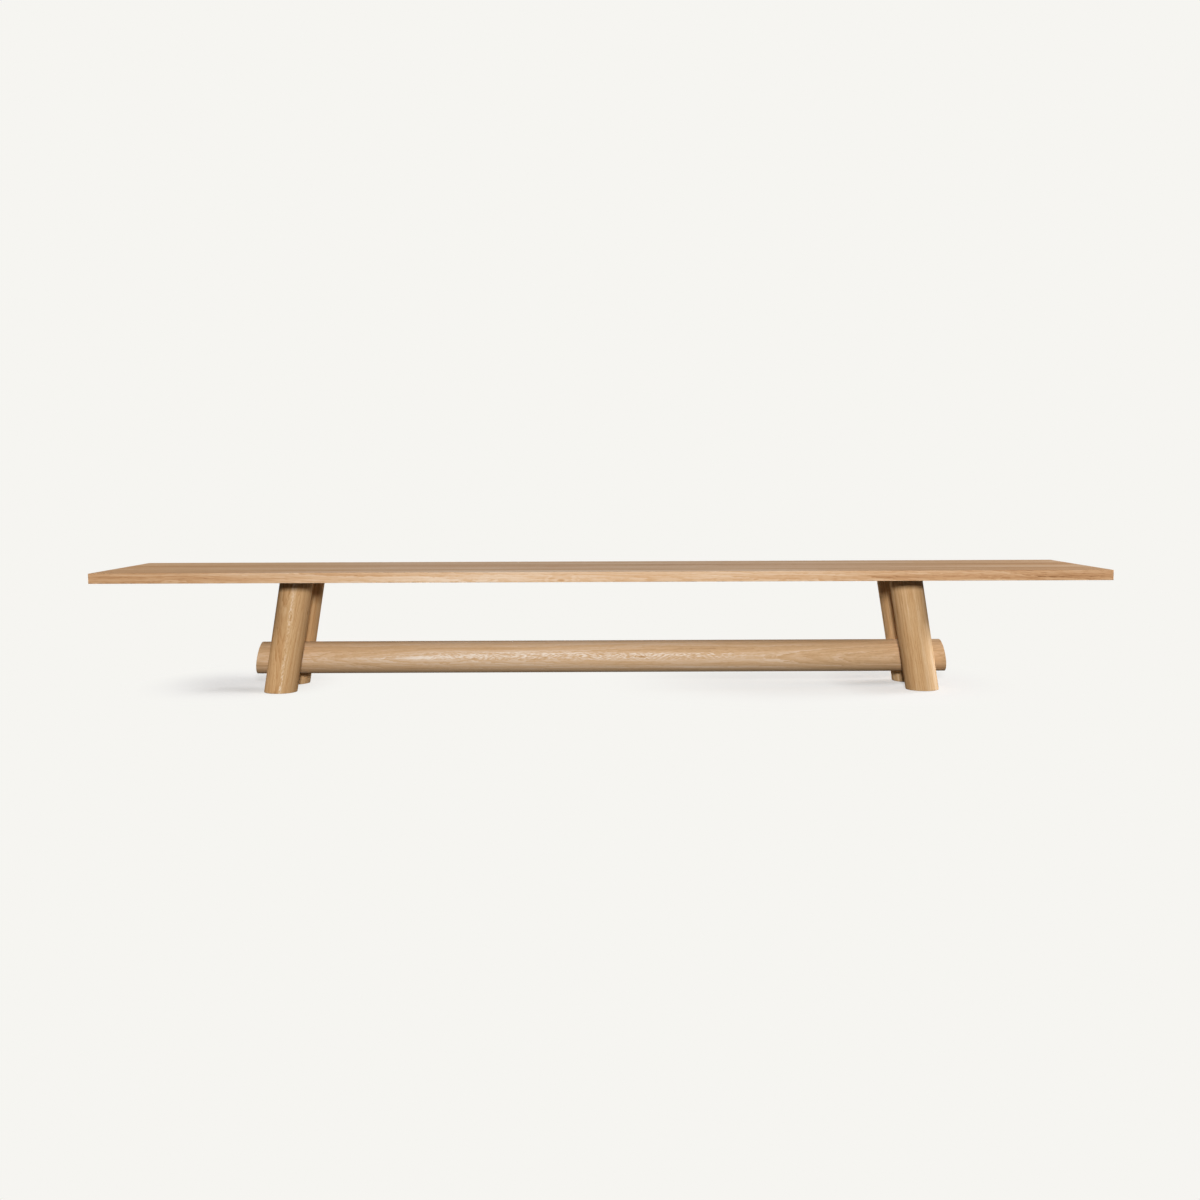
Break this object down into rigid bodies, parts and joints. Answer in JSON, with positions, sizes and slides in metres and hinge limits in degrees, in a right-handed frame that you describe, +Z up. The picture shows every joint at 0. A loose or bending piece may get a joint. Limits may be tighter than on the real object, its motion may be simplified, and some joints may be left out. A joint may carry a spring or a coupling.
{
  "type": "trestle dining table",
  "caption": "Long solid oak dining table: a thick edge-glued top on two pairs of leaning round legs that grip one round stretcher.",
  "frame": {"origin": "on the floor, under the middle of the top", "axes": "+X along the table, +Y from the front to the rear, +Z up"},
  "size_m": [6, 1.099, 0.755],
  "materials": {
    "oak_top": "oiled, sanded smooth",
    "oak_legs": "turned and oiled",
    "oak_stretcher": "turned and oiled",
    "oak_joinery": "planed, bare",
    "coated_steel": "matt black powder coat",
    "zinc_plated_steel": "zinc plated",
    "brass_insert": "turned",
    "wool_felt": "pressed felt"
  },
  "bodies": {
    "root": {"top_board_1": "oak_top", "top_board_2": "oak_top", "top_board_3": "oak_top", "top_board_4": "oak_top", "top_board_5": "oak_top", "top_board_6": "oak_top", "top_board_7": "oak_top", "leg_front_left": "oak_legs", "leg_front_right": "oak_legs", "leg_rear_left": "oak_legs", "leg_rear_right": "oak_legs", "stretcher": "oak_stretcher", "top_spline_1": "oak_joinery", "top_spline_2": "oak_joinery", "top_spline_3": "oak_joinery", "top_spline_4": "oak_joinery", "top_spline_5": "oak_joinery", "top_spline_6": "oak_joinery", "saddle_dowels_front_left": "oak_joinery", "saddle_dowels_front_right": "oak_joinery", "saddle_dowels_rear_left": "oak_joinery", "saddle_dowels_rear_right": "oak_joinery", "stiffener_channel_1": "coated_steel", "stiffener_channel_2": "coated_steel", "stiffener_channel_3": "coated_steel", "stiffener_channel_4": "coated_steel", "stiffener_channel_5": "coated_steel", "head_plate_left": "coated_steel", "head_plate_right": "coated_steel", "channel_bolts": "zinc_plated_steel", "plate_bolts": "zinc_plated_steel", "plate_washers": "zinc_plated_steel", "leg_screws": "zinc_plated_steel", "channel_inserts": "brass_insert", "plate_inserts": "brass_insert", "foot_glide_front_left": "wool_felt", "foot_glide_front_right": "wool_felt", "foot_glide_rear_left": "wool_felt", "foot_glide_rear_right": "wool_felt"}
  },
  "joints": []
}
